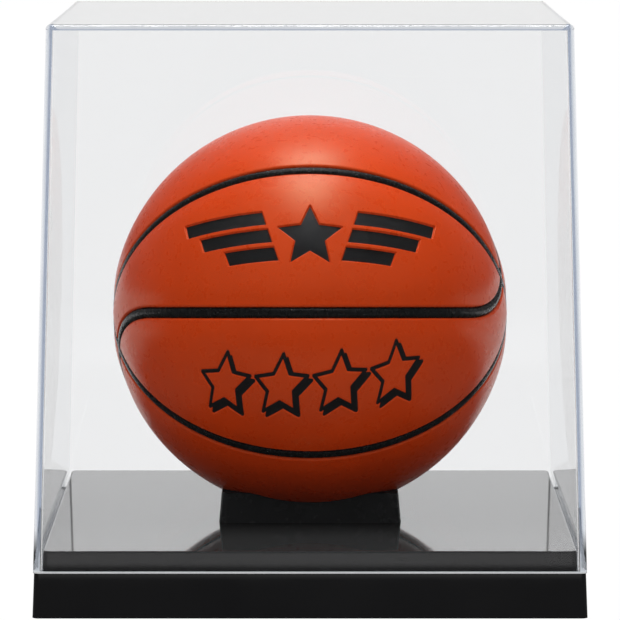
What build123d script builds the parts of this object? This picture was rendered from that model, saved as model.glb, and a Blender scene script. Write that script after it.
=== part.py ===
"""Cube display case for a small basketball: black moulded base, clear lift-off cover, ball and its stand.

Frame: millimetres, +Z up, origin on the table at the centre of the case, front of the case towards -Y.
"""
import math
import os

from build123d import *

# ---- driving dimensions ----------------------------------------------------------------------
FOOT_PROUD = 0.8            # how far the rubber feet stand below the skirt
FOOT_DIAMETER = 11.0
FOOT_THICKNESS = 2.4
FOOT_INSET = 86.0           # foot centres, from the middle of the case
FOOT_BOSS_DIAMETER = 15.0
FOOT_POCKET_GAP = 0.1
FOOT_POCKET_LIP = 1.2

BASE_WIDTH_BOTTOM = 200.7
BASE_WIDTH_TOP = 199.4      # at the ledge that carries the cover
LEDGE_Z = FOOT_PROUD + 16.35
PLINTH_WIDTH_BOTTOM = 193.5
PLINTH_WIDTH_TOP = 193.0
PLINTH_TOP_Z = FOOT_PROUD + 24.04
BASE_WALL = 2.5
BASE_CORNER_RADIUS = 2.4
PLINTH_EDGE_RADIUS = 0.7
RIB_THICKNESS = 2.0
RIB_HEIGHT = 6.0
RIB_PITCH = 46.0            # distance of the two ribs each way from the middle

COVER_WIDTH_BOTTOM = 200.0
COVER_WIDTH_TOP = 188.7
COVER_TOP_Z = FOOT_PROUD + 213.95
COVER_WALL = 2.4
COVER_ROOF = 2.2
COVER_EDGE_RADIUS = 2.0
COVER_INNER_RADIUS = 0.8

STAND_WIDTH_BOTTOM = 68.3
STAND_WIDTH_TOP = 66.4
STAND_TOP_Z = PLINTH_TOP_Z + 11.1
STAND_CORNER_RADIUS = 3.0
STAND_EDGE_RADIUS = 0.5
STAND_BORE_RADIUS = 23.0
STAND_SEAT_GAP = 0.25       # the ball only touches where it settles

SCREW_PITCH = 25.0          # screw positions, from the middle, along X and Y
SCREW_SHANK_DIAMETER = 2.8
SCREW_HEAD_DIAMETER = 5.8
SCREW_HEAD_HEIGHT = 1.8
SCREW_REACH = 6.5           # length of thread inside the stand
SCREW_HOLE_DIAMETER = 3.0
DRIVE_SLOT_WIDTH = 0.7
DRIVE_SLOT_LENGTH = 3.4
DRIVE_SLOT_DEPTH = 1.0

BALL_RADIUS = 75.36
BALL_CENTRE_Z = PLINTH_TOP_Z + BALL_RADIUS + 0.2
BALL_TILT = 6.6             # the middle seam at the front is turned up by this angle
PANEL_THICKNESS = 1.6
CARCASS_THICKNESS = 1.4
WINDING_THICKNESS = 1.0
BLADDER_THICKNESS = 0.8
CHANNEL_WIDTH = 4.0
CHANNEL_TURN_RADIUS = 45.0  # where the wandering seam turns round near the two poles

VALVE_ANGLE = 202.5         # round the pole axis from the front, so at the back and low
VALVE_DIAMETER = 5.9
VALVE_HOLE_DIAMETER = 6.0
VALVE_FLANGE_DIAMETER = 18.0
VALVE_FLANGE_THICKNESS = 1.0
VALVE_RECESS = 0.5          # below the ball's surface
NEEDLE_HOLE_DIAMETER = 1.6

# ---- worked out from them --------------------------------------------------------------------
CARCASS_RADIUS = BALL_RADIUS - PANEL_THICKNESS
WINDING_RADIUS = CARCASS_RADIUS - CARCASS_THICKNESS
BLADDER_RADIUS = WINDING_RADIUS - WINDING_THICKNESS
BLADDER_INNER_RADIUS = BLADDER_RADIUS - BLADDER_THICKNESS
PLATE_UNDERSIDE_Z = PLINTH_TOP_Z - BASE_WALL
LEDGE_UNDERSIDE_Z = LEDGE_Z - BASE_WALL
REACH = 1.5 * BALL_RADIUS   # beyond anything that is cut

FOOT_PLACES = {
    "front_left": (-FOOT_INSET, -FOOT_INSET),
    "front_right": (FOOT_INSET, -FOOT_INSET),
    "back_left": (-FOOT_INSET, FOOT_INSET),
    "back_right": (FOOT_INSET, FOOT_INSET),
}
# Panels in order round the pole axis, 45 degrees each, starting just above the front seam.
PANEL_NAMES = [
    "panel_front_upper", "panel_top_front", "panel_top_back", "panel_back_upper",
    "panel_back_lower", "panel_bottom_back", "panel_bottom_front", "panel_front_lower",
]


def cylinder_between(diameter, z_low, z_high, x=0.0, y=0.0):
    """Upright cylinder."""
    lift = Pos(x, y, (z_low + z_high) / 2)
    return lift * Cylinder(diameter / 2, z_high - z_low)


def square_loft(width_low, z_low, width_high, z_high, radius):
    """Square block with rounded corners that narrows evenly from one height to another."""
    low = Pos(0, 0, z_low) * RectangleRounded(width_low, width_low, radius)
    high = Pos(0, 0, z_high) * RectangleRounded(width_high, width_high, radius)
    return loft([low, high])


def top_edges(solid):
    """The edges round the highest flat face."""
    return solid.faces().sort_by(Axis.Z)[-1].edges()


def screw_places():
    """The four screw centres in plan."""
    signs = (-1, 1)
    return [(sx * SCREW_PITCH, sy * SCREW_PITCH) for sx in signs for sy in signs]


# ---- base ------------------------------------------------------------------------------------
def make_base_shell():
    """Black moulding: a drafted skirt, a ledge for the cover and a raised plinth, hollow below."""
    skirt = square_loft(BASE_WIDTH_BOTTOM, FOOT_PROUD, BASE_WIDTH_TOP, LEDGE_Z, BASE_CORNER_RADIUS)
    plinth = square_loft(
        PLINTH_WIDTH_BOTTOM, LEDGE_Z - BASE_WALL / 2, PLINTH_WIDTH_TOP, PLINTH_TOP_Z, BASE_CORNER_RADIUS
    )
    plinth = fillet(top_edges(plinth), PLINTH_EDGE_RADIUS)
    shell = skirt + plinth

    skirt_hollow = Pos(0, 0, (FOOT_PROUD + LEDGE_UNDERSIDE_Z) / 2) * Box(
        BASE_WIDTH_TOP - 2 * BASE_WALL, BASE_WIDTH_TOP - 2 * BASE_WALL, LEDGE_UNDERSIDE_Z - FOOT_PROUD
    )
    plinth_hollow = Pos(0, 0, (FOOT_PROUD + PLATE_UNDERSIDE_Z) / 2) * Box(
        PLINTH_WIDTH_TOP - 2 * BASE_WALL, PLINTH_WIDTH_TOP - 2 * BASE_WALL, PLATE_UNDERSIDE_Z - FOOT_PROUD
    )
    shell -= skirt_hollow + plinth_hollow

    rib_length = PLINTH_WIDTH_TOP - BASE_WALL
    rib_z = PLATE_UNDERSIDE_Z - RIB_HEIGHT / 2
    for place in (-RIB_PITCH, RIB_PITCH):
        shell += Pos(place, 0, rib_z) * Box(RIB_THICKNESS, rib_length, RIB_HEIGHT)
        shell += Pos(0, place, rib_z) * Box(rib_length, RIB_THICKNESS, RIB_HEIGHT)

    pocket_z = FOOT_THICKNESS
    boss_foot_z = pocket_z - FOOT_POCKET_LIP
    pocket_diameter = FOOT_DIAMETER + 2 * FOOT_POCKET_GAP
    for x, y in FOOT_PLACES.values():
        shell += cylinder_between(FOOT_BOSS_DIAMETER, boss_foot_z, PLATE_UNDERSIDE_Z, x, y)
        shell -= cylinder_between(pocket_diameter, boss_foot_z, pocket_z, x, y)

    for x, y in screw_places():
        shell -= cylinder_between(SCREW_HOLE_DIAMETER, PLATE_UNDERSIDE_Z, PLINTH_TOP_Z, x, y)
    return shell


def make_foot(x, y):
    """Stick-on rubber foot with a softened lower edge."""
    foot = cylinder_between(FOOT_DIAMETER, 0, FOOT_THICKNESS, x, y)
    lower_rim = foot.faces().sort_by(Axis.Z)[0].edges()
    return fillet(lower_rim, FOOT_PROUD / 2)


def make_ball_stand():
    """Low square block, drafted, dished to the ball and open in the middle."""
    block = square_loft(
        STAND_WIDTH_BOTTOM, PLINTH_TOP_Z, STAND_WIDTH_TOP, STAND_TOP_Z, STAND_CORNER_RADIUS
    )
    block = fillet(top_edges(block), STAND_EDGE_RADIUS)
    block -= Pos(0, 0, BALL_CENTRE_Z) * Sphere(BALL_RADIUS + STAND_SEAT_GAP)
    block -= cylinder_between(2 * STAND_BORE_RADIUS, PLINTH_TOP_Z, STAND_TOP_Z)
    for x, y in screw_places():
        block -= cylinder_between(SCREW_HOLE_DIAMETER, PLINTH_TOP_Z, PLINTH_TOP_Z + SCREW_REACH, x, y)
    return block


def make_stand_screw(x, y):
    """Pan-head screw from below, with a cross drive; it holds the stand down on the plinth."""
    head = cylinder_between(SCREW_HEAD_DIAMETER, PLATE_UNDERSIDE_Z - SCREW_HEAD_HEIGHT, PLATE_UNDERSIDE_Z, x, y)
    head_rim = head.faces().sort_by(Axis.Z)[0].edges()
    head = fillet(head_rim, SCREW_HEAD_HEIGHT / 2)
    shank = cylinder_between(SCREW_SHANK_DIAMETER, PLATE_UNDERSIDE_Z, PLINTH_TOP_Z + SCREW_REACH, x, y)
    slot_z = PLATE_UNDERSIDE_Z - SCREW_HEAD_HEIGHT + DRIVE_SLOT_DEPTH / 2
    slot = Pos(x, y, slot_z) * Box(DRIVE_SLOT_LENGTH, DRIVE_SLOT_WIDTH, DRIVE_SLOT_DEPTH)
    cross_slot = Pos(x, y, slot_z) * Box(DRIVE_SLOT_WIDTH, DRIVE_SLOT_LENGTH, DRIVE_SLOT_DEPTH)
    return head + shank - slot - cross_slot


# ---- cover -----------------------------------------------------------------------------------
def make_clear_cover():
    """Five-sided clear moulding that narrows upwards and drops over the plinth."""
    outer = square_loft(COVER_WIDTH_BOTTOM, LEDGE_Z, COVER_WIDTH_TOP, COVER_TOP_Z, COVER_EDGE_RADIUS)
    outer = fillet(top_edges(outer), COVER_EDGE_RADIUS * 0.9)
    ceiling_z = COVER_TOP_Z - COVER_ROOF
    draft = (COVER_WIDTH_BOTTOM - COVER_WIDTH_TOP) / (COVER_TOP_Z - LEDGE_Z)
    ceiling_width = COVER_WIDTH_TOP + draft * COVER_ROOF - 2 * COVER_WALL
    rim_width = COVER_WIDTH_BOTTOM - 2 * COVER_WALL
    inner = square_loft(rim_width, LEDGE_Z, ceiling_width, ceiling_z, COVER_INNER_RADIUS)
    return outer - inner


# ---- ball ------------------------------------------------------------------------------------
def sphere_shell(outer_radius, inner_radius):
    return Sphere(outer_radius) - Sphere(inner_radius)


def turn_strip(up):
    """Seam in the plane across the poles: in from the front, round a wide turn, out at the top or bottom."""
    half = CHANNEL_WIDTH / 2
    turn = CHANNEL_TURN_RADIUS
    ring = Circle(turn + half) - Circle(turn - half)
    ring = Pos(-turn, up * turn) * ring
    corner = Pos(-turn / 2 + half, up * (turn / 2 - half)) * Rectangle(turn + 2 * half, turn + 2 * half)
    bend = ring & corner
    straight = REACH - turn
    front_run = Pos(-turn - straight / 2, 0) * Rectangle(straight, CHANNEL_WIDTH)
    far_run = Pos(0, up * (turn + straight / 2)) * Rectangle(CHANNEL_WIDTH, straight)
    return bend + front_run + far_run


def make_channels():
    """The seams as solids: two planes through the poles, and the seam that wanders between the quarters."""
    slab = Box(2 * REACH, 2 * REACH, CHANNEL_WIDTH)
    channels = [Rot(X=45) * slab, Rot(X=-45) * slab]
    for up, length in ((1, REACH), (-1, -REACH)):
        strip = extrude(Plane.YZ * turn_strip(up), amount=length)
        channels.append(strip)
        channels.append(Rot(X=180) * strip)
    return channels


def place_ball(piece):
    """From the ball's own frame to its place on the stand."""
    return Pos(0, 0, BALL_CENTRE_Z) * Rot(X=-BALL_TILT) * piece


def angle_round_poles(solid):
    """Angle of a panel's centre about the pole axis, from the front upwards, 0 to 360."""
    centre = solid.center()
    return math.degrees(math.atan2(centre.Z, -centre.Y)) % 360


def valve_cylinder(diameter, radius_low, radius_high):
    """Cylinder along the valve's axis, between two distances from the ball's centre."""
    upright = cylinder_between(diameter, radius_low, radius_high)
    return Rot(X=90 - VALVE_ANGLE) * upright


def make_panels():
    """Eight cover panels, by name, with the valve's hole in one of them."""
    skin = sphere_shell(BALL_RADIUS, CARCASS_RADIUS)
    for channel in make_channels():
        skin -= channel
    skin -= valve_cylinder(VALVE_HOLE_DIAMETER, 0, REACH)
    panels = {}
    for solid in skin.solids():
        index = int(angle_round_poles(solid) // 45)
        name = PANEL_NAMES[index]
        assert name not in panels, name
        panels[name] = place_ball(solid)
    assert len(panels) == len(PANEL_NAMES)
    return panels


def make_layer(outer_radius, inner_radius):
    """One closed layer under the panels, with the valve's hole."""
    layer = sphere_shell(outer_radius, inner_radius) - valve_cylinder(VALVE_HOLE_DIAMETER, 0, REACH)
    return place_ball(layer)


def make_valve():
    """Rubber valve plug: a stem through every layer and a flange bonded inside the bladder."""
    flange_shell = sphere_shell(BLADDER_INNER_RADIUS, BLADDER_INNER_RADIUS - VALVE_FLANGE_THICKNESS)
    flange = flange_shell & valve_cylinder(VALVE_FLANGE_DIAMETER, 0, REACH)
    stem_tip = BALL_RADIUS - VALVE_RECESS
    stem_root = BLADDER_INNER_RADIUS - 2 * VALVE_FLANGE_THICKNESS
    valve = flange + valve_cylinder(VALVE_DIAMETER, stem_root, stem_tip)
    valve -= valve_cylinder(NEEDLE_HOLE_DIAMETER, BLADDER_INNER_RADIUS, REACH)
    return place_ball(valve)


def make_nodes():
    nodes = {
        "base_shell": make_base_shell(),
        "ball_stand": make_ball_stand(),
        "stand_screws": Compound(children=[make_stand_screw(x, y) for x, y in screw_places()]),
        "clear_cover": make_clear_cover(),
        "ball_bladder": make_layer(BLADDER_RADIUS, BLADDER_INNER_RADIUS),
        "ball_winding": make_layer(WINDING_RADIUS, BLADDER_RADIUS),
        "ball_carcass": make_layer(CARCASS_RADIUS, WINDING_RADIUS),
        "ball_valve": make_valve(),
    }
    for place, (x, y) in FOOT_PLACES.items():
        nodes["foot_" + place] = make_foot(x, y)
    nodes.update(make_panels())
    return nodes


os.makedirs("parts", exist_ok=True)
for node_name, shape in make_nodes().items():
    export_step(shape, f"parts/{node_name}.step")
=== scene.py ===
"""Looks for a display case with a small basketball.

The case has a black moulded base with a stand, and a clear cover that lifts off.
Everything is in metres, in the CAD frame: +Z up, the case's front towards -Y.
"""

import math

import bmesh
import bpy
import numpy as np
from mathutils import Matrix, Vector


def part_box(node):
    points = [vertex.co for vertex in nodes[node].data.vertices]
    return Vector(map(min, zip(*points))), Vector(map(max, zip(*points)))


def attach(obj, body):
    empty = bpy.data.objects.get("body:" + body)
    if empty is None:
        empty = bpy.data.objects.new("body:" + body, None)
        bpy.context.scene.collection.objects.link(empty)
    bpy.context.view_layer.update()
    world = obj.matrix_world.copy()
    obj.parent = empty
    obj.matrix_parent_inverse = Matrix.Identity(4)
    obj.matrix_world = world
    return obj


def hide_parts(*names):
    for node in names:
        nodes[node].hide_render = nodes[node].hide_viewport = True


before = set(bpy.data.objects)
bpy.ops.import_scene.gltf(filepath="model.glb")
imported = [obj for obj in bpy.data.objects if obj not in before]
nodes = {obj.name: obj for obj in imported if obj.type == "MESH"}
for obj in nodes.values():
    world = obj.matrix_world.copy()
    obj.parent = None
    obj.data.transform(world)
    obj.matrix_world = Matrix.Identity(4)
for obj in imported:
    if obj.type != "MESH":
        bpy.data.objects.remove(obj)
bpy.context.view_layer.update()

MM = 0.001

# ---- ball: the seams' layout, as in the CAD -----------------------------------------------------
PANEL_NAMES = {
    ("front", 1): "panel_front_upper", ("front", 0): "panel_front_lower",
    ("top", 1): "panel_top_front", ("top", 0): "panel_top_back",
    ("back", 0): "panel_back_upper", ("back", 1): "panel_back_lower",
    ("bottom", 1): "panel_bottom_back", ("bottom", 0): "panel_bottom_front",
}
QUARTERS = ["front", "top", "back", "bottom"]
SEAM_WIDTH = 4.0 * MM
SEAM_TURN_RADIUS = 45.0 * MM
BALL_TILT = math.radians(6.6)
VALVE_ANGLE = math.radians(202.5)
VALVE_HOLE_RADIUS = 3.0 * MM

# ---- ball: shape of the panel edges and of the black rib between them ----------------------------
EDGE_ROUND = 1.0 * MM           # radius of a panel's rounded edge
EDGE_SHOULDER = 0.5 * MM        # how much further the leather dips towards the seam
EDGE_SHOULDER_WIDTH = 4.5 * MM
RIB_HALF_WIDTH = 1.72 * MM
RIB_CREST = 0.45 * MM           # crest below the ball's surface
GROOVE_DEPTH = 1.5 * MM         # bottom of the fine groove on each side of the rib
MARK_DEPTH = 0.8 * MM           # the upper mark is pressed in this deep
OUTLINE_DEPTH = 0.25 * MM       # the lower mark's outlines
MARK_WALL = 0.5 * MM            # width of the slope down into a mark

# ---- ball: the two marks, generic shapes ---------------------------------------------------------
UPPER_MARK_ANGLE = math.radians(22.6)
LOWER_MARK_ANGLE = math.radians(-20.8)
STAR_RADIUS = 12.4 * MM
STAR_INNER = 0.46               # how far in a star's inner corners lie
STAR_DROP = 0.8 * MM
BAR_THICKNESS = 5.2 * MM
BAR_PITCH = 7.3 * MM
BAR_START = 15.0 * MM
BAR_ENDS = (47.0 * MM, 42.0 * MM, 34.0 * MM)
BAR_SLANT = 0.32
SMALL_STAR_RADIUS = 10.2 * MM
SMALL_STAR_STRETCH = 1.22
LOWER_MARK_TURN = math.radians(3.5)
SMALL_STAR_INNER = 0.5
SMALL_STAR_PITCH = 21.6 * MM
SMALL_STAR_COUNT = 4
SMALL_STAR_SLANT = 0.14
OUTLINE_WIDTH = 1.25 * MM
SHADOW_SHIFT = (1.5 * MM, -1.5 * MM)

# ---- ball: how fine its mesh is ------------------------------------------------------------------
SPHERE_SUBDIVISIONS = 6
REFINE_ROUNDS = 8
REFINE_SLACK = 1.4              # an edge may be this much longer than its target
BISECTIONS = 14
CUT_SNAP = 0.03 * MM            # a point this near a cut counts as on it
MARK_CUT_SNAP = 0.01 * MM
COARSE_EDGE = 3.2 * MM
SEAM_EDGE = 1.1 * MM
MARK_EDGE = 0.34 * MM
PANEL_LINES = [level * MM for level in (0.1, 0.25, 0.5, 0.8, 1.2, 1.8, 2.6, 3.6)]
RIB_LINES = [share * RIB_HALF_WIDTH for share in (0.25, 0.5, 0.7, 0.85, 0.95, 1.0)]
NORMAL_STEP = 0.04 * MM

# ---- cover: the white ring at its foot, a painted highlight line ---------------------------------
COVER_WALL = 2.4 * MM
COVER_CORNER = 2.0 * MM
COVER_INNER_CORNER = 0.4 * MM   # the smallest corner radius
CORNER_STEPS = 6
EDGE_LOW = 0.04 * MM
EDGE_HIGH = 0.5 * MM

# ---- CAD pieces ----------------------------------------------------------------------------------
SHARP_ANGLE = math.radians(25)

# ---- materials -----------------------------------------------------------------------------------
NOISE_SPAN = (0.3, 0.7)         # noise seldom leaves this range
NOISE_ROUGHNESS = 0.55
TRAPPED_BOUNCES = 2.5           # light led further than this through the cover's walls is let out
COVER_SHADE = (0.93, 0.94, 0.95, 1)
COVER_DEPTH_COLOUR = (0.69, 0.73, 0.80, 1)
COVER_DEPTH_DENSITY = 15

# ---- stage: the white table ----------------------------------------------------------------------
FLOOR_RADIUS = 40
FLOOR_SEGMENTS = 96
FLOOR_ALBEDO = 0.01
FLOOR_GLOW = 1.0                # to the eye and through the cover
FLOOR_MIRRORED_REACH = 0.5      # the mirrored greys run from -Y to +Y over this distance each way
FLOOR_MIRRORED = (              # (y, grey)
    (-0.43, 0.02), (-0.37, 0.26), (-0.275, 0.34), (-0.255, 0.05), (0.10, 0.05), (0.18, 0.95),
)
FLOOR_FILL_SPAN = (0.28, 0.55)  # distances from the middle, for the two fills below
FLOOR_FILL_NEAR = 0.55
FLOOR_FILL_FAR = 0.15

# ---- stage: the room. Spans are in the direction's Z, Y or sideways part -------------------------
SKY = 1.0                       # to the eye and through the cover
SKY_FILL_LOW = 0.4              # on diffuse surfaces
SKY_FILL_FRONT = 1.05
SKY_FILL_SPAN = (0.1, 0.7)
SKY_FILL_BACK = 0.3
SKY_FILL_BACK_SPAN = (-0.5, 0.5)
ROOM_FRONT = 0.02               # mirrored
ROOM_FRONT_SPAN = (0.0, 0.5)
ROOM_BACK_LOW = 0.87
ROOM_BACK_HIGH = 0.5
ROOM_BACK_SPAN = (0.2, 0.6)
ROOM_SIDE = 0.22
ROOM_SIDE_SPAN = (0.14, 0.4)

# ---- stage: the lamp -----------------------------------------------------------------------------
LAMP_PLACE = (0, 0.03, 1.35)
LAMP_AIM = (0, 0.02, 0.1)
LAMP_SIZE = (0.42, 0.95)
LAMP_POWER = 10.5

# ---- camera --------------------------------------------------------------------------------------
CAMERA_DISTANCE = 1.6437
CAMERA_HEIGHT = 0.2922
CAMERA_PITCH = math.radians(6.625)
CAMERA_LENS = 252.0
CAMERA_SENSOR = 36
CAMERA_CLIP = 100


def join_boxes(names):
    lows, highs = zip(*(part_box(n) for n in names))
    low = Vector(min(v[i] for v in lows) for i in range(3))
    high = Vector(max(v[i] for v in highs) for i in range(3))
    return low, high


carcass_low, carcass_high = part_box("ball_carcass")
BALL_CENTRE = (carcass_low + carcass_high) / 2
CARCASS_RADIUS = (carcass_high.z - carcass_low.z) / 2
BALL_RADIUS = join_boxes(PANEL_NAMES.values())[1].z - BALL_CENTRE.z
CARCASS_INNER_RADIUS = (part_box("ball_winding")[1].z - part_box("ball_winding")[0].z) / 2
BALL_MATRIX = Matrix.Translation(BALL_CENTRE) @ Matrix.Rotation(-BALL_TILT, 4, "X")


# ---- mesh tools on a sphere ----------------------------------------------------------------------
def icosphere():
    bm = bmesh.new()
    bmesh.ops.create_icosphere(bm, subdivisions=SPHERE_SUBDIVISIONS, radius=BALL_RADIUS)
    points = np.array([v.co[:] for v in bm.verts])
    faces = np.array([[v.index for v in f.verts] for f in bm.faces])
    bm.free()
    return points, faces


def on_sphere(points):
    return points * (BALL_RADIUS / np.linalg.norm(points, axis=1))[:, None]


def sides_of(faces):
    """Each face's three sides, all first sides before all second ones."""
    return np.concatenate([faces[:, [0, 1]], faces[:, [1, 2]], faces[:, [2, 0]]])


def edges_of(faces):
    """Unique edges, and for each face the index of its edges v0v1, v1v2, v2v0."""
    edges, index = np.unique(np.sort(sides_of(faces), axis=1), axis=0, return_inverse=True)
    return edges, index.reshape(3, -1).T


def split_edges(points, faces, edges, face_edges, marked, share):
    """Puts a point on each marked edge, that share of the way along it, and divides the faces."""
    ends = edges[marked]
    part = share[marked][:, None]
    added = on_sphere(points[ends[:, 0]] * (1 - part) + points[ends[:, 1]] * part)
    number = np.full(len(edges), -1)
    number[marked] = len(points) + np.arange(len(added))
    middles = number[face_edges]
    cuts = (middles >= 0).sum(axis=1)

    def turned(rows, first):
        """These faces and their middles, turned so that the side in first comes first."""
        order = (first[:, None] + np.arange(3)) % 3
        lines = np.arange(len(rows))[:, None]
        return faces[rows][lines, order], middles[rows][lines, order]

    result = [faces[cuts == 0]]
    rows = np.flatnonzero(cuts == 1)
    v, m = turned(rows, np.argmax(middles[rows] >= 0, axis=1))
    result += [np.c_[v[:, 0], m[:, 0], v[:, 2]], np.c_[m[:, 0], v[:, 1], v[:, 2]]]
    rows = np.flatnonzero(cuts == 2)
    v, m = turned(rows, (np.argmin(middles[rows] >= 0, axis=1) + 1) % 3)
    result += [
        np.c_[m[:, 0], v[:, 1], m[:, 1]],
        np.c_[v[:, 0], m[:, 0], m[:, 1]],
        np.c_[v[:, 0], m[:, 1], v[:, 2]],
    ]
    rows = np.flatnonzero(cuts == 3)
    v, m = faces[rows], middles[rows]
    result += [
        np.c_[v[:, 0], m[:, 0], m[:, 2]],
        np.c_[m[:, 0], v[:, 1], m[:, 1]],
        np.c_[m[:, 2], m[:, 1], v[:, 2]],
        np.c_[m[:, 0], m[:, 1], m[:, 2]],
    ]
    return np.concatenate([points, added]), np.concatenate(result)


def refine(points, faces, target):
    """Halves edges until none is much longer than target says for its middle."""
    for _ in range(REFINE_ROUNDS):
        edges, face_edges = edges_of(faces)
        a, b = points[edges[:, 0]], points[edges[:, 1]]
        marked = np.linalg.norm(a - b, axis=1) > REFINE_SLACK * target(on_sphere(a + b))
        if not marked.any():
            break
        half = np.full(len(edges), 0.5)
        points, faces = split_edges(points, faces, edges, face_edges, marked, half)
    return points, faces


def cut_along(points, faces, field, level, snap=CUT_SNAP):
    """Adds points and edges along the line where field equals level."""
    value = field(points) - level
    value[np.abs(value) < snap] = 0
    edges, face_edges = edges_of(faces)
    marked = value[edges[:, 0]] * value[edges[:, 1]] < 0
    start, end = points[edges[marked, 0]], points[edges[marked, 1]]
    rising = np.sign(value[edges[marked, 1]])
    low, high = np.zeros(len(start)), np.ones(len(start))
    for _ in range(BISECTIONS):
        middle = (low + high) / 2
        tried = on_sphere(start * (1 - middle[:, None]) + end * middle[:, None])
        past = (field(tried) - level) * rising > 0
        low, high = np.where(past, low, middle), np.where(past, middle, high)
    share = np.zeros(len(edges))
    share[marked] = (low + high) / 2
    return split_edges(points, faces, edges, face_edges, marked, share)


# ---- the ball's fields: distances on its surface -------------------------------------------------
def turn_distance(y, z):
    """Distance to the wandering seam, seen along the pole axis.

    It comes in from the front, turns round and goes out at the top.
    """
    turn = SEAM_TURN_RADIUS
    front_run = np.where(y <= -turn, np.abs(z), np.inf)
    top_run = np.where(z >= turn, np.abs(y), np.inf)
    bend = np.abs(np.hypot(y + turn, z - turn) - turn)
    bend = np.where((y > -turn) & (z < turn), bend, np.inf)
    return np.minimum(np.minimum(front_run, top_run), bend)


def seam_distance(p):
    """Distance to the middle of the nearest seam."""
    x, y, z = p.T
    straight = np.minimum(np.abs(y + z), np.abs(y - z)) * math.sqrt(0.5)
    side = np.where(x >= 0, z, -z)
    wandering = np.minimum(turn_distance(y, side), turn_distance(-y, -side))
    return np.minimum(straight, wandering)


def valve_distance(p):
    axis = np.array([0, -math.cos(VALVE_ANGLE), math.sin(VALVE_ANGLE)])
    along = p @ axis
    away = np.linalg.norm(p - along[:, None] * axis, axis=1)
    return np.where(along > 0, away, BALL_RADIUS)


def edge_distance(p):
    """Distance to the nearest edge of a panel, positive on the panel."""
    return np.minimum(seam_distance(p) - SEAM_WIDTH / 2, valve_distance(p) - VALVE_HOLE_RADIUS)


def panel_of(p):
    """Index of the panel that holds each point."""
    x, y, z = p.T
    above, below = y + z >= 0, y - z < 0
    quarter = np.select([~above & below, above & below, above], [0, 1, 2], 3)
    turn = SEAM_TURN_RADIUS

    def beyond(a, b):
        corner = (a < 0) & (b > 0)
        return corner & ((a < -turn) | (b > turn) | (np.hypot(a + turn, b - turn) < turn))

    right = beyond(y, z) | beyond(-y, -z)
    left = ~(beyond(y, -z) | beyond(-y, z))
    side = np.where(x >= 0, right, left)
    return quarter * 2 + side


# ---- the two marks -------------------------------------------------------------------------------
def mark_coordinates(p, angle):
    """Distances along and across the line from pole to pole at that angle above the front."""
    x, y, z = p.T / BALL_RADIUS
    across = z * math.cos(angle) + y * math.sin(angle)
    forward = -y * math.cos(angle) + z * math.sin(angle)
    return np.arctan2(x, forward) * BALL_RADIUS, np.arcsin(np.clip(across, -1, 1)) * BALL_RADIUS


def star_distance(u, v, radius, inner):
    """Signed distance to a five-pointed star, after folding it onto one point."""
    cosine, sine = math.cos(math.radians(36)), math.sin(math.radians(36))
    u = np.abs(u)
    for nx, ny in ((cosine, -sine), (-cosine, -sine)):
        fold = 2 * np.maximum(nx * u + ny * v, 0)
        u, v = u - fold * nx, v - fold * ny
    u = np.abs(u)
    v = v - radius
    bx, by = inner * sine, inner * cosine - 1
    h = np.clip((u * bx + v * by) / (bx * bx + by * by), 0, radius)
    return np.hypot(u - bx * h, v - by * h) * np.sign(v * bx - u * by)


def bar_distance(u, v, start, end, middle):
    """Signed distance to a flat bar."""
    du = np.abs(u - (start + end) / 2) - (end - start) / 2
    dv = np.abs(v - middle) - BAR_THICKNESS / 2
    return np.hypot(np.maximum(du, 0), np.maximum(dv, 0)) + np.minimum(np.maximum(du, dv), 0)


def upper_mark(p):
    """A star between two wings of three bars, solid."""
    u, v = mark_coordinates(p, UPPER_MARK_ANGLE)
    shape = star_distance(u, v + STAR_DROP, STAR_RADIUS, STAR_INNER)
    for row, end in enumerate(BAR_ENDS):
        middle = (1 - row) * BAR_PITCH
        leaning = np.abs(u) - BAR_SLANT * v
        shape = np.minimum(shape, bar_distance(leaning, v, BAR_START, end, middle))
    return np.where(p[:, 1] < 0, shape, BALL_RADIUS)


def lower_mark(p):
    """A row of leaning stars in outline, each with a drop shadow."""
    u, v = mark_coordinates(p, LOWER_MARK_ANGLE)
    u, v = (
        u * math.cos(LOWER_MARK_TURN) + v * math.sin(LOWER_MARK_TURN),
        v * math.cos(LOWER_MARK_TURN) - u * math.sin(LOWER_MARK_TURN),
    )
    u = u - SMALL_STAR_SLANT * v
    v = v / SMALL_STAR_STRETCH
    shape = np.full(len(p), BALL_RADIUS)
    for i in range(SMALL_STAR_COUNT):
        middle = (i - (SMALL_STAR_COUNT - 1) / 2) * SMALL_STAR_PITCH
        star = star_distance(u - middle, v, SMALL_STAR_RADIUS, SMALL_STAR_INNER)
        shadow = star_distance(
            u - middle - SHADOW_SHIFT[0], v - SHADOW_SHIFT[1], SMALL_STAR_RADIUS, SMALL_STAR_INNER
        )
        outline = np.abs(star) - OUTLINE_WIDTH / 2
        visible_shadow = np.maximum(shadow - OUTLINE_WIDTH / 2, -star)
        shape = np.minimum(shape, np.minimum(outline, visible_shadow))
    return np.where(p[:, 1] < 0, shape, BALL_RADIUS)


def both_marks(p):
    return np.minimum(upper_mark(p), lower_mark(p))


# ---- ball pieces ---------------------------------------------------------------------------------
def smooth_step(x):
    x = np.clip(x, 0, 1)
    return x * x * (3 - 2 * x)


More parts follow.
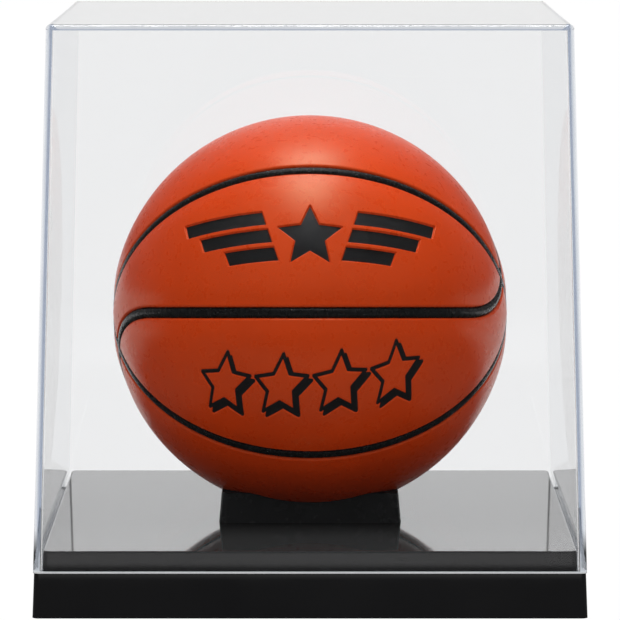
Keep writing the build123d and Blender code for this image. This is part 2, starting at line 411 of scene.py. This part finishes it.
def panel_radius(p):
    """Height of the leather: round at the edges, with the marks pressed in."""
    from_edge = np.maximum(edge_distance(p), 0)
    rounding = 1 - np.sqrt(1 - (1 - np.clip(from_edge / EDGE_ROUND, 0, 1)) ** 2)
    shoulder = np.exp(-((from_edge / EDGE_SHOULDER_WIDTH) ** 2))
    pressed = MARK_DEPTH * (1 - smooth_step(upper_mark(p) / MARK_WALL))
    pressed += OUTLINE_DEPTH * (1 - smooth_step(lower_mark(p) / MARK_WALL))
    return BALL_RADIUS - EDGE_ROUND * rounding - EDGE_SHOULDER * shoulder - pressed


def carcass_radius(p):
    """Height of the black rubber: a round rib in each seam, fine grooves beside it."""
    from_middle = seam_distance(p)
    across = np.clip(from_middle / RIB_HALF_WIDTH, 0, 1)
    rise = (GROOVE_DEPTH - RIB_CREST) * np.sqrt(1 - across**2)
    return np.where(from_middle < SEAM_WIDTH / 2, BALL_RADIUS - GROOVE_DEPTH + rise, CARCASS_RADIUS)


def surface_normals(p, radius):
    """Normals of the surface at radius(p), from how the radius changes around each point."""
    out = p / BALL_RADIUS
    aside = np.cross(out, np.where(np.abs(out[:, :1]) < 0.7, [[1.0, 0.0, 0.0]], [[0.0, 1.0, 0.0]]))
    aside /= np.linalg.norm(aside, axis=1)[:, None]
    normal = out.copy()
    for tangent in (aside, np.cross(out, aside)):
        step = NORMAL_STEP * tangent
        change = radius(on_sphere(p + step)) - radius(on_sphere(p - step))
        normal -= tangent * (change / (2 * NORMAL_STEP))[:, None]
    return normal / np.linalg.norm(normal, axis=1)[:, None]


def shell_mesh(name, outer, inner, outer_radius, inner_radius):
    """Closed shell from an outer and an inner skin that share their first points and their rims."""
    outer_points, outer_faces = outer
    inner_points, inner_faces = inner
    sides = sides_of(outer_faces)
    ends = np.sort(sides, axis=1)
    _, first, count = np.unique(ends, axis=0, return_index=True, return_counts=True)
    a, b = sides[first[count == 1]].T
    start = len(outer_points)
    walls = np.c_[b, a, a + start, b + start]
    lifted = outer_points * (outer_radius(outer_points) / BALL_RADIUS)[:, None]
    points = np.concatenate([lifted, inner_points * (inner_radius / BALL_RADIUS)])
    outer_normals = surface_normals(outer_points, outer_radius)
    normals = np.concatenate([outer_normals, -inner_points / BALL_RADIUS])
    triangles = np.concatenate([outer_faces, inner_faces[:, ::-1] + start])

    mesh = bpy.data.meshes.new(name)
    mesh.from_pydata(points.tolist(), [], triangles.tolist() + walls.tolist())
    mesh.transform(BALL_MATRIX)
    turn = np.array(BALL_MATRIX.to_3x3())
    mesh.normals_split_custom_set_from_vertices((normals @ turn.T).tolist())
    piece = bpy.data.objects.new(name, mesh)
    bpy.context.scene.collection.objects.link(piece)
    return piece


def near_edges(p):
    """Edge lengths that are short at the panels' edges."""
    return np.clip(0.6 * np.abs(edge_distance(p)), SEAM_EDGE, COARSE_EDGE)


def near_marks(p):
    """Edge lengths that are short at the marks."""
    return np.clip(0.8 * np.abs(both_marks(p)), MARK_EDGE, COARSE_EDGE)


def part_of(points, faces):
    """Those faces with only the points that they use."""
    used = np.unique(faces)
    number = np.zeros(len(points), int)
    number[used] = np.arange(len(used))
    return points[used], number[faces]


def make_panels(leather, ink):
    points, faces = cut_along(*refine(*icosphere(), near_edges), edge_distance, 0)
    middles = on_sphere(points[faces].mean(axis=1))
    panel = np.where(edge_distance(middles) > 0, panel_of(middles), -1)
    for index in range(len(PANEL_NAMES)):
        node = PANEL_NAMES[QUARTERS[index // 2], index % 2]
        inner = part_of(points, faces[panel == index])
        outer = inner
        for level in PANEL_LINES:
            outer = cut_along(*outer, edge_distance, level)
        outer = refine(*outer, near_marks)
        for level in (0, 0.5 * MARK_WALL, MARK_WALL):
            outer = cut_along(*outer, both_marks, level, snap=MARK_CUT_SNAP)
        name = node.replace("panel", "leather")
        piece = shell_mesh(name, outer, inner, panel_radius, CARCASS_RADIUS)
        piece.data.materials.append(leather)
        piece.data.materials.append(ink)
        inked = both_marks(on_sphere(outer[0][outer[1]].mean(axis=1))) < 0
        slots = np.zeros(len(piece.data.polygons), np.int32)
        slots[: len(inked)] = inked
        piece.data.polygons.foreach_set("material_index", slots)
        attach(piece, "ball")
        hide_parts(node)


def make_carcass(rubber):
    def near_valve(p):
        return np.where(valve_distance(p) < 2 * VALVE_HOLE_RADIUS, SEAM_EDGE, COARSE_EDGE)

    def near_seams(p):
        return np.where(seam_distance(p) < SEAM_WIDTH, SEAM_EDGE, COARSE_EDGE)

    def outside_valve(mesh):
        points, faces = mesh
        middles = on_sphere(points[faces].mean(axis=1))
        return part_of(points, faces[valve_distance(middles) > VALVE_HOLE_RADIUS])

    inner = refine(*icosphere(), near_valve)
    inner = outside_valve(cut_along(*inner, valve_distance, VALVE_HOLE_RADIUS))
    outer = refine(*inner, near_seams)
    for level in (*RIB_LINES, SEAM_WIDTH / 2):
        outer = cut_along(*outer, seam_distance, level)
    piece = shell_mesh("rubber_carcass", outer, inner, carcass_radius, CARCASS_INNER_RADIUS)
    piece.data.materials.append(rubber)
    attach(piece, "ball")
    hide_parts("ball_carcass")


def make_highlight_ring(highlight_paint):
    """A low white square ring at the foot of the cover's walls, a painted highlight line."""
    low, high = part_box("clear_cover")
    bm = bmesh.new()
    loops = []
    for inset, height in (
        (0, EDGE_LOW), (0, EDGE_HIGH), (COVER_WALL, EDGE_HIGH), (COVER_WALL, EDGE_LOW),
    ):
        z = low.z + height
        half, radius = high.x - inset, max(COVER_CORNER - inset, COVER_INNER_CORNER)
        corners = []
        for turn in range(4):
            middle = math.radians(45 + turn * 90)
            for step in range(CORNER_STEPS + 1):
                angle = math.radians(turn * 90 + step * 90 / CORNER_STEPS)
                x = math.copysign(half - radius, math.cos(middle)) + radius * math.cos(angle)
                y = math.copysign(half - radius, math.sin(middle)) + radius * math.sin(angle)
                corners.append(bm.verts.new((x, y, z)))
        loops.append(corners)
    for first, second in zip(loops, loops[1:] + loops[:1]):
        for i in range(len(first)):
            j = (i + 1) % len(first)
            bm.faces.new((first[i], first[j], second[j], second[i]))
    bmesh.ops.recalc_face_normals(bm, faces=bm.faces)
    mesh = bpy.data.meshes.new("cover_cut_edge")
    bm.to_mesh(mesh)
    bm.free()
    ring = bpy.data.objects.new("cover_cut_edge", mesh)
    bpy.context.scene.collection.objects.link(ring)
    mesh.materials.append(highlight_paint)
    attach(ring, "cover")


# ---- materials -----------------------------------------------------------------------------------
class Nodes:
    """A node tree, with short calls for the nodes that are put in it."""

    def __init__(self, tree):
        self.tree = tree

    def add(self, kind, **settings):
        node = self.tree.nodes.new(kind)
        for key, value in settings.items():
            setattr(node, key, value)
        return node

    def link(self, output, target):
        self.tree.links.new(output, target)

    def feed(self, value, target):
        """Sends a node's output, or a plain number, to an input."""
        if isinstance(value, (int, float)):
            target.default_value = value
        else:
            self.link(value, target)

    def math(self, operation, *values):
        node = self.add("ShaderNodeMath", operation=operation)
        for value, target in zip(values, node.inputs):
            self.feed(value, target)
        return node.outputs[0]

    def stretched(self, value, span, low, high):
        """A value, stretched so that span becomes low to high, and held at those."""
        node = self.add("ShaderNodeMapRange")
        for name, number in zip(("From Min", "From Max", "To Min", "To Max"), (*span, low, high)):
            node.inputs[name].default_value = number
        self.link(value, node.inputs["Value"])
        return node.outputs["Result"]

    def mixed(self, share, first, second):
        """First where share is 0, second where it is 1 or more."""
        node = self.add("ShaderNodeMix")
        self.link(share, node.inputs["Factor"])
        self.feed(first, node.inputs["A"])
        self.feed(second, node.inputs["B"])
        return node.outputs["Result"]

    def ramp(self, value, stops):
        """Colours along a value, as (position, colour) pairs."""
        node = self.add("ShaderNodeValToRGB")
        ends = node.color_ramp.elements
        while len(ends) < len(stops):
            ends.new(0.5)
        for element, (position, colour) in zip(ends, stops):
            element.position = position
            element.color = (*colour, 1)
        self.link(value, node.inputs["Fac"])
        return node.outputs["Color"]


class Finish(Nodes):
    """A material with one Principled shader, and short calls for what feeds it."""

    def __init__(self, name, **values):
        self.material = bpy.data.materials.new(name)
        self.material.use_nodes = True
        super().__init__(self.material.node_tree)
        self.shader = self.tree.nodes["Principled BSDF"]
        self.place = self.add("ShaderNodeTexCoord").outputs["Object"]
        for key, value in values.items():
            self.shader.inputs[key.replace("_", " ")].default_value = value

    def noise(self, size, detail=4.0):
        """Noise whose blobs are about that size, in metres."""
        node = self.add("ShaderNodeTexNoise")
        node.inputs["Scale"].default_value = 1 / size
        node.inputs["Detail"].default_value = detail
        node.inputs["Roughness"].default_value = NOISE_ROUGHNESS
        self.link(self.place, node.inputs["Vector"])
        return node.outputs["Fac"]

    def colour(self, value, dark, light, span=NOISE_SPAN):
        """Base colour that runs from dark to light over that span of the value."""
        shade = self.ramp(value, [(span[0], dark), (span[1], light)])
        self.link(shade, self.shader.inputs["Base Color"])

    def roughness(self, value, low, high):
        self.link(self.stretched(value, NOISE_SPAN, low, high), self.shader.inputs["Roughness"])

    def bump(self, height, depth):
        """Bump of that depth, in metres."""
        node = self.add("ShaderNodeBump")
        node.inputs["Strength"].default_value = 1.0
        node.inputs["Distance"].default_value = depth
        self.link(height, node.inputs["Height"])
        self.link(node.outputs["Normal"], self.shader.inputs["Normal"])


def leather_finish():
    """Smooth orange composite leather, satin, with a faint unevenness."""
    f = Finish("orange_leather", Specular_IOR_Level=0.6, Specular_Tint=(1.0, 0.9, 0.55, 1))
    f.colour(f.noise(30 * MM), (0.78, 0.053, 0.0002), (0.86, 0.060, 0.0002))
    f.roughness(f.noise(4 * MM), 0.26, 0.31)
    f.bump(f.noise(6 * MM, detail=1), 0.02 * MM)
    return f.material


def ink_finish():
    """Black print in the pressed marks, slightly uneven."""
    f = Finish("black_print")
    f.colour(f.noise(6 * MM), (0.005, 0.005, 0.0055), (0.008, 0.008, 0.0085))
    f.roughness(f.noise(3 * MM), 0.38, 0.5)
    f.bump(f.noise(2 * MM, detail=1), 0.005 * MM)
    return f.material


def rubber_finish(name, roughness=(0.24, 0.3), grey=0.006):
    """Black rubber, smooth and a little glossy unless the roughness says otherwise."""
    f = Finish(name, Specular_IOR_Level=0.5)
    f.colour(f.noise(8 * MM), (grey * 0.8,) * 3, (grey * 1.25,) * 3)
    f.roughness(f.noise(2 * MM), *roughness)
    f.bump(f.noise(4 * MM, detail=0), 0.006 * MM)
    return f.material


def polished_black_finish():
    """Injection moulded styrene, polished: a trace of flow marks and dust-fine haze."""
    f = Finish("polished_black", Coat_Weight=0.8, Coat_Roughness=0.04)
    f.colour(f.noise(50 * MM), (0.0045, 0.0045, 0.005), (0.007, 0.007, 0.0075))
    f.roughness(f.noise(12 * MM, detail=8), 0.035, 0.07)
    f.bump(f.noise(60 * MM, detail=2), 0.02 * MM)
    return f.material


def satin_black_finish():
    """The stand's plastic, less polished than the base."""
    f = Finish("satin_black", Specular_IOR_Level=0.22)
    f.colour(f.noise(20 * MM), (0.016, 0.016, 0.0165), (0.021, 0.021, 0.0215))
    f.roughness(f.noise(4 * MM), 0.2, 0.3)
    f.bump(f.noise(0.9 * MM, detail=3), 0.006 * MM)
    return f.material


def clear_finish():
    """Clear polystyrene. It lets lamps shine in, and lets out light that its walls have trapped."""
    f = Finish("clear_styrene", IOR=1.5, Transmission_Weight=1.0, Base_Color=(0.997, 0.998, 1.0, 1))
    f.roughness(f.noise(30 * MM, detail=6), 0.0, 0.012)
    path = f.add("ShaderNodeLightPath").outputs
    lighting = f.math("MAXIMUM", path["Is Shadow Ray"], path["Is Diffuse Ray"])
    trapped = f.math("GREATER_THAN", path["Glossy Depth"], TRAPPED_BOUNCES)
    through = f.add("ShaderNodeBsdfTransparent")
    through.inputs["Color"].default_value = COVER_SHADE
    mix = f.add("ShaderNodeMixShader")
    f.link(f.math("MAXIMUM", lighting, trapped), mix.inputs[0])
    f.link(f.shader.outputs[0], mix.inputs[1])
    f.link(through.outputs[0], mix.inputs[2])
    depth = f.add("ShaderNodeVolumeAbsorption")
    depth.inputs["Color"].default_value = COVER_DEPTH_COLOUR
    depth.inputs["Density"].default_value = COVER_DEPTH_DENSITY
    output = f.tree.nodes["Material Output"]
    f.link(mix.outputs[0], output.inputs["Surface"])
    f.link(depth.outputs[0], output.inputs["Volume"])
    return f.material


def painted_highlight_finish():
    """Near-white, slightly see-through paint for the ring at the cover's foot: a painted highlight
    line.
    """
    f = Finish("painted_highlight_white", IOR=1.5, Transmission_Weight=0.15)
    f.colour(f.noise(4 * MM), (0.86, 0.88, 0.90), (0.95, 0.96, 0.97))
    f.roughness(f.noise(1 * MM), 0.3, 0.45)
    f.bump(f.noise(0.4 * MM), 0.02 * MM)
    return f.material


def thread_finish():
    """Pale nylon thread wound over the bladder."""
    f = Finish("wound_thread", Roughness=0.6)
    wave = f.add("ShaderNodeTexWave", wave_type="RINGS")
    wave.inputs["Scale"].default_value = 900
    wave.inputs["Distortion"].default_value = 3
    f.link(f.place, wave.inputs["Vector"])
    f.colour(wave.outputs["Fac"], (0.42, 0.38, 0.30), (0.80, 0.76, 0.66), span=(0.2, 0.8))
    f.bump(wave.outputs["Fac"], 0.2 * MM)
    return f.material


def zinc_finish():
    f = Finish("zinc_plate", Metallic=1.0)
    f.colour(f.noise(2 * MM), (0.50, 0.51, 0.53), (0.66, 0.66, 0.64))
    f.roughness(f.noise(1 * MM), 0.25, 0.4)
    return f.material


def dress(names, material):
    """Gives CAD nodes their material, and smooth shading between their sharp edges."""
    for name in names:
        mesh = nodes[name].data
        mesh.materials.clear()
        mesh.materials.append(material)
        mesh.shade_smooth()
        mesh.set_sharp_from_angle(angle=SHARP_ANGLE)
        weighted = nodes[name].modifiers.new("flat faces stay flat", "WEIGHTED_NORMAL")
        weighted.keep_sharp = True
        weighted.weight = 100


# ---- stage ---------------------------------------------------------------------------------------
def floor_finish():
    """White to the eye and through the cover, dimmer when mirrored or as light on the pieces."""
    material = bpy.data.materials.new("white_table")
    material.use_nodes = True
    material.node_tree.nodes.clear()
    n = Nodes(material.node_tree)
    place = n.add("ShaderNodeTexCoord").outputs["Object"]
    path = n.add("ShaderNodeLightPath").outputs

    axes = n.add("ShaderNodeSeparateXYZ")
    n.link(place, axes.inputs[0])
    reach = FLOOR_MIRRORED_REACH
    backwards = n.stretched(axes.outputs["Y"], (-reach, reach), 0.0, 1.0)
    greys = [((y + reach) / (2 * reach), (grey,) * 3) for y, grey in FLOOR_MIRRORED]
    seen = n.mixed(path["Glossy Depth"], FLOOR_GLOW, n.ramp(backwards, greys))

    away = n.add("ShaderNodeVectorMath", operation="LENGTH")
    n.link(place, away.inputs[0])
    fill = n.stretched(away.outputs["Value"], FLOOR_FILL_SPAN, FLOOR_FILL_NEAR, FLOOR_FILL_FAR)
    lit = n.mixed(path["Glossy Depth"], fill, ROOM_FRONT)

    glow = n.add("ShaderNodeEmission")
    n.link(n.mixed(path["Diffuse Depth"], seen, lit), glow.inputs["Strength"])
    diffuse = n.add("ShaderNodeBsdfDiffuse")
    diffuse.inputs["Color"].default_value = (FLOOR_ALBEDO,) * 3 + (1,)
    both = n.add("ShaderNodeAddShader")
    n.link(diffuse.outputs[0], both.inputs[0])
    n.link(glow.outputs[0], both.inputs[1])
    n.link(both.outputs[0], n.add("ShaderNodeOutputMaterial").inputs["Surface"])
    return material


def make_floor():
    """Endless white table. It lights the case like a table with a dark room in front of it."""
    mesh = bpy.data.meshes.new("floor")
    bm = bmesh.new()
    bmesh.ops.create_circle(bm, cap_ends=True, radius=FLOOR_RADIUS, segments=FLOOR_SEGMENTS)
    bm.to_mesh(mesh)
    bm.free()
    floor = bpy.data.objects.new("floor", mesh)
    bpy.context.scene.collection.objects.link(floor)
    mesh.materials.append(floor_finish())


def make_world():
    """White to the eye and through the cover. Mirrored, a dim room with a pale card behind."""
    world = bpy.data.worlds.new("room")
    bpy.context.scene.world = world
    world.use_nodes = True
    n = Nodes(world.node_tree)
    axes = n.add("ShaderNodeSeparateXYZ")
    n.link(n.add("ShaderNodeTexCoord").outputs["Generated"], axes.inputs[0])
    x, y, z = axes.outputs
    path = n.add("ShaderNodeLightPath").outputs

    card = n.stretched(z, ROOM_BACK_SPAN, ROOM_BACK_LOW, ROOM_BACK_HIGH)
    beside = n.stretched(n.math("ABSOLUTE", x), ROOM_SIDE_SPAN, 0.0, 1.0)
    behind = n.stretched(y, ROOM_FRONT_SPAN, 0.0, 1.0)
    room = n.mixed(behind, ROOM_FRONT, n.mixed(beside, card, ROOM_SIDE))
    seen = n.mixed(path["Glossy Depth"], SKY, room)

    front = n.stretched(z, SKY_FILL_SPAN, SKY_FILL_LOW, SKY_FILL_FRONT)
    fill = n.mixed(n.stretched(y, SKY_FILL_BACK_SPAN, 0.0, 1.0), front, SKY_FILL_BACK)
    lit = n.mixed(path["Glossy Depth"], fill, ROOM_FRONT)

    background = world.node_tree.nodes["Background"]
    background.inputs["Color"].default_value = (1, 1, 1, 1)
    n.link(n.mixed(path["Diffuse Depth"], seen, lit), background.inputs["Strength"])


def make_lamp():
    """One softbox overhead, which lights and is mirrored but isn't seen itself."""
    light = bpy.data.lights.new("overhead", "AREA")
    light.shape = "RECTANGLE"
    light.size, light.size_y = LAMP_SIZE
    light.energy = LAMP_POWER
    lamp = bpy.data.objects.new("overhead", light)
    bpy.context.scene.collection.objects.link(lamp)
    lamp.location = LAMP_PLACE
    direction = Vector(LAMP_AIM) - Vector(LAMP_PLACE)
    lamp.rotation_euler = direction.to_track_quat("-Z", "Y").to_euler()
    lamp.visible_camera = False
    lamp.visible_transmission = False


def make_camera():
    camera = bpy.data.cameras.new("camera")
    camera.lens = CAMERA_LENS
    camera.sensor_width = CAMERA_SENSOR
    camera.clip_end = CAMERA_CLIP
    holder = bpy.data.objects.new("camera", camera)
    bpy.context.scene.collection.objects.link(holder)
    holder.location = (0, -CAMERA_DISTANCE, CAMERA_HEIGHT)
    holder.rotation_euler = (math.pi / 2 - CAMERA_PITCH, 0, 0)
    bpy.context.scene.camera = holder


# ---- the scene -----------------------------------------------------------------------------------
make_panels(leather_finish(), ink_finish())
make_carcass(rubber_finish("seam_rubber"))
dress(["ball_valve"], rubber_finish("valve_rubber", roughness=(0.4, 0.55)))
dress(["ball_bladder"], rubber_finish("bladder_rubber", roughness=(0.5, 0.65), grey=0.05))
dress(["ball_winding"], thread_finish())
dress(["base_shell"], polished_black_finish())
dress(["ball_stand"], satin_black_finish())
dress(["stand_screws"], zinc_finish())
feet = [name for name in nodes if name.startswith("foot_")]
dress(feet, rubber_finish("foot_rubber", roughness=(0.6, 0.75), grey=0.04))
dress(["clear_cover"], clear_finish())
# the white ring at the cover's foot is a painted highlight line
make_highlight_ring(painted_highlight_finish())

make_floor()
make_world()
make_lamp()
make_camera()
bpy.context.scene.view_settings.view_transform = "Standard"
